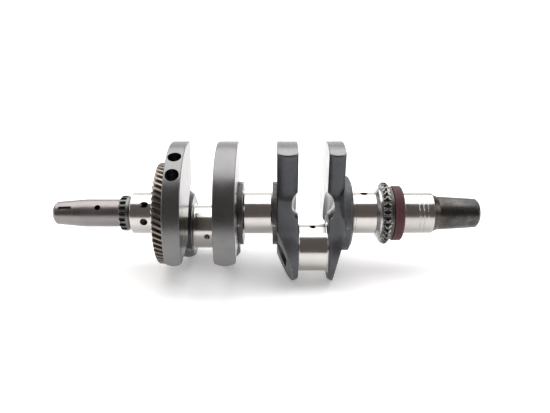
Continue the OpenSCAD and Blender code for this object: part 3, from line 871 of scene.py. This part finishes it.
class CRANKSHAFT_OT_drive_end(bpy.types.Operator):
    """Make the drive end with its ground land, helical grooves, taper and thread"""
    bl_idname = "crankshaft.drive_end"
    bl_label = "Drive end"

    def execute(self, context):
        depth = context.scene.crank_shape.groove_depth
        start, end = span("drive_shaft_end")
        land_end = end - 47
        groove_start, groove_end = 156.5, 169.0
        land_r = 20.7
        cut = thread_dent(end - 23, end - 2.6, 1.5, 0.7)

        def dent(x, turn):
            if x > end - 25 and x < end - 2.6:
                return cut(x, turn)
            if not groove_start < x < groove_end:
                return 0
            phase = (x / 4.2 - turn / (2 * pi)) % 1
            fade = min(1, (x - groove_start) / 1.5, (groove_end - x) / 1.5)
            return depth * fade * max(0, 1 - abs(phase - 0.5) / 0.16)
        rings = int((groove_end - groove_start) / 0.2)
        land = [(groove_start + 0.2 * k, land_r) for k in range(rings + 1)]
        outer = [(start, 0), (start, STEP_R), (start + 16.2, STEP_R), (start + 16.2, MAIN_R),
                 (start + 27.7, MAIN_R), (start + 27.8, land_r)] + land
        outer += [(land_end - 0.6, land_r), (land_end, 19.5), (land_end + 5.5, 17),
                  (end - 2.5, 14.5), (end, 12)]
        thread = [(end - 2.6 - 0.25 * k, 6.2) for k in range(84)]
        inner = [(end, 8.8)] + thread + [(end - 34, 6.2), (end - 37, 0)]
        piece = lathe("drive_shaft_end_detail", outer + inner, dent=dent)
        paint(piece, ["land_ground", "taper_scuffed"],
              lambda middle, normal: int(middle.x > land_end - 0.8))
        finish_piece(piece, CRANK, ["drive_shaft_end"])
        return {"FINISHED"}


# Gears, rings and seal

TOOTH = [(-0.40, 0.0), (-0.345, 0.05), (-0.31, 0.22), (-0.265, 0.48), (-0.215, 0.74), (-0.175, 0.93),
         (-0.15, 1.0), (0.0, 1.0), (0.15, 1.0), (0.175, 0.93), (0.215, 0.74), (0.265, 0.48), (0.31, 0.22),
         (0.345, 0.05), (0.40, 0.0), (0.5, 0.0)]


def toothed_ring(name, count, root_r, tip_r, bore_r, depths, limits, lead=0.0, start=0.0, side=1):
    """A ring of teeth in layers. limits gives each layer's largest radius, lead its turn for a millimetre."""
    points, outer, inner = [], [], []
    around = [((i + share) * 2 * pi / count, height) for i in range(count) for share, height in TOOTH]
    for depth, limit in zip(depths, limits):
        outer.append(range(len(points), len(points) + len(around)))
        for turn, height in around:
            r = min(limit, root_r + (tip_r - root_r) * height)
            turn += lead * depth
            points.append((start + side * depth, r * cos(turn), r * sin(turn)))
    for depth in (depths[0], depths[-1]):
        inner.append(range(len(points), len(points) + len(around)))
        for turn, height in around:
            turn += lead * depth
            points.append((start + side * depth, bore_r * cos(turn), bore_r * sin(turn)))
    loops = [inner[0], *outer, inner[1]]
    faces = []
    for low, high in zip(loops, loops[1:] + [inner[0]]):
        for k in range(len(low)):
            n = (k + 1) % len(low)
            faces.append((low[k], high[k], high[n], low[n]))
    return make_mesh(name, points, faces)


def tooth_layers(width, tip_r, chamfer_a, chamfer_b, steps=5, slope=1.0):
    """Depths and radius limits of a toothed ring with a chamfer at each end."""
    layers = [(chamfer_a * k / steps, tip_r - (chamfer_a - chamfer_a * k / steps) * slope)
              for k in range(steps + 1)]
    middle = 6
    layers += [(chamfer_a + (width - chamfer_a - chamfer_b) * k / middle, tip_r) for k in range(1, middle)]
    layers += [(width - chamfer_b + chamfer_b * k / steps, tip_r - chamfer_b * k / steps * slope)
               for k in range(steps + 1)]
    return [d for d, r in layers], [r for d, r in layers]


class CRANKSHAFT_OT_balancer_gear(bpy.types.Operator):
    """Make the helical balancer drive gear"""
    bl_idname = "crankshaft.balancer_gear"
    bl_label = "Balancer gear"

    def execute(self, context):
        low, high = span("balancer_gear")
        width = high - low
        depths, limits = tooth_layers(width, GEAR_TIP_R, 1.0, 0.6, 4)
        piece = toothed_ring("balancer_gear_detail", GEAR_TEETH, GEAR_ROOT_R, GEAR_TIP_R, GEAR_SEAT_R + 0.02,
                             depths, limits, tan(GEAR_HELIX) / GEAR_TIP_R, low)
        combine(piece, rod((low - 1, 0, GEAR_SEAT_R), (low + width - 4, 0, GEAR_SEAT_R), 2, 32))

        def rule(middle, normal):
            r = middle.yz.length
            if r > GEAR_ROOT_R and 0.3 < abs(normal.x) < 0.93 and not low + 1.2 < middle.x < high - 0.7:
                return 1
            if r > GEAR_TIP_R - 0.3:
                return 3
            return 2 if abs(normal.x) > 0.98 else 0
        paint(piece, ["gear_flank", "worn_edge", "gear_side", "gear_land"], rule)
        finish_piece(piece, CRANK, ["balancer_gear"], 40)
        return {"FINISHED"}


class CRANKSHAFT_OT_sprockets(bpy.types.Operator):
    """Make the timing sprocket and the pump sprocket"""
    bl_idname = "crankshaft.sprockets"
    bl_label = "Sprockets"

    def execute(self, context):
        low, high = span("timing_sprocket")
        tip = 17.85
        depths, limits = tooth_layers(7.0, tip, 1.4, 0.3, 4)
        piece = toothed_ring("timing_sprocket_detail", TIMING_TEETH, tip - 3.1, tip, TIMING_SEAT_R,
                             depths, limits, 0, low)
        flange = lathe("Flange", [(low + 6.8, TIMING_SEAT_R), (low + 6.8, tip - 0.6), (low + 7.4, tip - 0.6),
                                  (high, tip - 1.6), (high, TIMING_SEAT_R)], True, 0.2)
        combine(piece, flange, "UNION")
        combine(piece, block((low - 1, -1.5, -14), (low + 7, 1.5, -11)))

        def rule(middle, normal):
            if middle.x > low + 7.05:
                return 2
            return int(0.4 < -normal.x < 0.9 and middle.x < low + 1.6 and middle.yz.length > tip - 1.3)
        paint(piece, ["black_oxide", "worn_dark", "flange_grey"], rule)
        finish_piece(piece, CRANK, ["timing_sprocket"], 38)

        low, high = span("pump_sprocket")
        width = high - low
        tip = 31.2
        depths, limits = tooth_layers(width, tip, 2.2, 2.2, 5)
        piece = toothed_ring("pump_sprocket_detail", PUMP_TEETH, tip - 4.2, tip, STEP_R,
                             depths, limits, 0, low)
        combine(piece, block((low - 1, -1.5, -STEP_R - 1.5), (high + 1, 1.5, -STEP_R + 1.5)))

        def edge_rule(middle, normal):
            r = middle.yz.length
            sideways = abs(normal.y * middle.z - normal.z * middle.y) / r
            return int(sideways > 0.3 and r > tip - 3.9 and not low + 2.6 < middle.x < high - 2.8)
        paint(piece, ["black_oxide", "worn_edge"], edge_rule)
        finish_piece(piece, CRANK, ["pump_sprocket"], 38)
        return {"FINISHED"}


class CRANKSHAFT_OT_rings(bpy.types.Operator):
    """Make the cone collar and the spacer ring beside the pump sprocket"""
    bl_idname = "crankshaft.rings"
    bl_label = "Collar and spacer"

    def execute(self, context):
        low, high = span("cone_collar")
        piece = lathe("cone_collar_detail", [
            (low, STEP_R), (low, MAIN_R + 1), (high - 2.8, 25.5), (high - 2.3, 25.2),
            (high - 1.9, 25.5), (high, 25.5), (high, STEP_R)], True, 0.25)
        one_finish(piece, "collar_satin")
        finish_piece(piece, CRANK, ["cone_collar"])
        low, high = span("spacer_ring")
        ring = [(low, STEP_R), (low, 26.5), (high, 26.5), (high, STEP_R)]
        piece = lathe("spacer_ring_detail", ring, True, 0.5)
        one_finish(piece, "black_oxide")
        finish_piece(piece, CRANK, ["spacer_ring"])
        return {"FINISHED"}


class CRANKSHAFT_OT_seal(bpy.types.Operator):
    """Make the rubber of the oil seal with its ribs, lips and recessed face"""
    bl_idname = "crankshaft.seal"
    bl_label = "Oil seal"

    def execute(self, context):
        low, high = span("oil_seal_rubber")
        r = 27.7
        lip = MAIN_R + 0.05
        corner = [(high - 2.2 + 2.2 * sin(pi / 2 * k / 7), r - 2.2 + 2.2 * cos(pi / 2 * k / 7))
                  for k in range(8)]
        outline = [(low, r - 2.6), (low, r - 0.5), (low + 0.8, r), (low + 2.6, r), (low + 3.0, r - 0.3),
                   (low + 3.4, r - 0.3), (low + 3.8, r), (low + 5.2, r),
                   (low + 5.6, r - 0.3), (low + 6.0, r - 0.3),
                   (low + 6.4, r)] + corner
        outline += [(high, r - 3.0), (high - 0.9, r - 3.5), (high - 0.9, lip + 2.6), (high - 0.1, lip + 1.9),
                    (high - 0.1, lip + 0.6), (high - 0.3, lip), (high - 2.2, lip + 1.5),
                    (low + 5.4, lip + 1.2),
                    (low + 3.0, lip), (low + 1.2, lip + 1.2), (low + 1.2, lip + 2.0), (low + 5.0, lip + 2.6),
                    (low + 6.4, lip + 2.8), (low + 6.4, r - 2.6)]
        piece = lathe("oil_seal_rubber_detail", outline, True, 0.15)
        one_finish(piece, "moulded_rubber")
        finish_piece(piece, SEAL, ["oil_seal_rubber"], 38)
        return {"FINISHED"}


class CRANKSHAFT_OT_small_parts(bpy.types.Operator):
    """Finish the dowel, keys, plugs, seal case and garter spring, which keep their own shapes"""
    bl_idname = "crankshaft.small_parts"
    bl_label = "Small parts"

    def execute(self, context):
        kept = {
            "pin_bright": ("balancer_gear_dowel", "timing_sprocket_key", "pump_sprocket_key", "oil_seal_case",
                           "oil_seal_spring"),
            "collar_satin": ("front_crankpin_plug", "rear_crankpin_plug", "nose_gallery_plug"),
        }
        for finish, nodes in kept.items():
            for node in nodes:
                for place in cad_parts[node].material_slots:
                    place.material = look(finish)
        return {"FINISHED"}


# Studio

class CRANKSHAFT_OT_finishes(bpy.types.Operator):
    """Make the shared surface effects and every finish"""
    bl_idname = "crankshaft.finishes"
    bl_label = "Finishes"

    def execute(self, context):
        make_groups()
        make_finishes(context.scene)
        return {"FINISHED"}


class CRANKSHAFT_OT_studio(bpy.types.Operator):
    """Make the camera, the pale floor with its sweep, and the soft lights"""
    bl_idname = "crankshaft.studio"
    bl_label = "Studio"

    def execute(self, context):
        scene = context.scene
        studio = scene.crank_studio
        camera = bpy.data.objects.new("Camera", bpy.data.cameras.new("Camera"))
        camera.data.lens = studio.focal_length
        camera.data.sensor_width = 36
        camera.data.clip_start = 0.01
        camera.location = studio.camera_place
        camera.rotation_euler = (pi / 2 - studio.camera_pitch, 0, 0)
        scene.collection.objects.link(camera)
        scene.camera = camera

        floor_z = CAD_BOX[0][2] / MM
        sweep = [(-1300, 0), (1500, 0)]
        sweep += [(1500 + 700 * sin(pi / 2 * k / 12), 700 - 700 * cos(pi / 2 * k / 12)) for k in range(1, 13)]
        sweep += [(2200, 2200)]
        points = [(x, y, floor_z + z) for y, z in sweep for x in (-2600, 2600)]
        faces = [(2 * k, 2 * k + 1, 2 * k + 3, 2 * k + 2) for k in range(len(sweep) - 1)]
        floor = make_mesh("Floor", points, faces)
        floor.data.transform(Matrix.Scale(MM, 4))
        floor.data.shade_smooth()
        if floor.data.polygons[0].normal.z < 0:
            floor.data.flip_normals()
        material, tree, shader = new_finish("paper_floor", metallic=0.0, Specular_IOR_Level=0.2,
                                            Emission_Color=(1, 1, 1, 1), Emission_Strength=0.3)
        grain = noise(tree, {"Scale": 300.0, "Detail": 4.0}).outputs[0]
        pale = tuple(studio.floor_colour)
        surface(tree, shader, blend_colours(tree, grain, shade(pale, 0.99), shade(pale, 1.01)),
                between(tree, grain, 0.7, 0.8), grain, 0.02)
        floor.data.materials.append(material)

        lights = (
            ("Overhead", (0.0, 0.62, 1.25), (0, 0, 0), (2.6, 1.9), studio.overhead_power),
            ("Left fill", (-1.3, -0.3, 0.7), (0, radians(-62), 0), (0.5, 0.9), studio.overhead_power * 0.08),
            ("Right fill", (1.3, -0.3, 0.7), (0, radians(62), 0), (0.5, 0.9), studio.overhead_power * 0.08),
        )
        for title, place, turn, size, power in lights:
            lamp = bpy.data.lights.new(title, "AREA")
            lamp.shape = "RECTANGLE"
            lamp.size, lamp.size_y = size
            lamp.energy = power
            held = bpy.data.objects.new(title, lamp)
            held.location = place
            held.rotation_euler = turn
            scene.collection.objects.link(held)
        world = bpy.data.worlds.new("Dim room")
        world.use_nodes = True
        world.node_tree.nodes["Background"].inputs[0].default_value = (0.155, 0.135, 0.131, 1)
        world.node_tree.nodes["Background"].inputs[1].default_value = 1.0
        scene.world = world
        scene.view_settings.view_transform = "Standard"
        return {"FINISHED"}


# Add-on

STEPS = (
    CRANKSHAFT_OT_studio, CRANKSHAFT_OT_finishes, CRANKSHAFT_OT_webs, CRANKSHAFT_OT_nose,
    CRANKSHAFT_OT_journals, CRANKSHAFT_OT_crankpins, CRANKSHAFT_OT_drive_end,
    CRANKSHAFT_OT_balancer_gear, CRANKSHAFT_OT_sprockets, CRANKSHAFT_OT_rings,
    CRANKSHAFT_OT_seal, CRANKSHAFT_OT_small_parts,
)


class CRANKSHAFT_PT_panel(bpy.types.Panel):
    """Lists the making steps and the settings"""
    bl_idname = "CRANKSHAFT_PT_panel"
    bl_label = "Crankshaft"
    bl_space_type = "VIEW_3D"
    bl_region_type = "UI"
    bl_category = "Crankshaft"

    def draw(self, context):
        for step in STEPS:
            self.layout.operator(step.bl_idname)
        for group in (context.scene.crank_shape, context.scene.crank_finish, context.scene.crank_studio):
            box = self.layout.box()
            for key in group.__annotations__:
                box.prop(group, key)


CLASSES = (CrankShapeSettings, CrankFinishSettings, CrankStudioSettings, *STEPS, CRANKSHAFT_PT_panel)


def register():
    for made in CLASSES:
        bpy.utils.register_class(made)
    bpy.types.Scene.crank_shape = PointerProperty(type=CrankShapeSettings)
    bpy.types.Scene.crank_finish = PointerProperty(type=CrankFinishSettings)
    bpy.types.Scene.crank_studio = PointerProperty(type=CrankStudioSettings)


def unregister():
    del bpy.types.Scene.crank_studio
    del bpy.types.Scene.crank_finish
    del bpy.types.Scene.crank_shape
    for made in reversed(CLASSES):
        bpy.utils.unregister_class(made)


def main():
    register()
    for step in STEPS:
        getattr(bpy.ops.crankshaft, step.bl_idname.split(".")[1])()


if __name__ == "__main__":
    main()
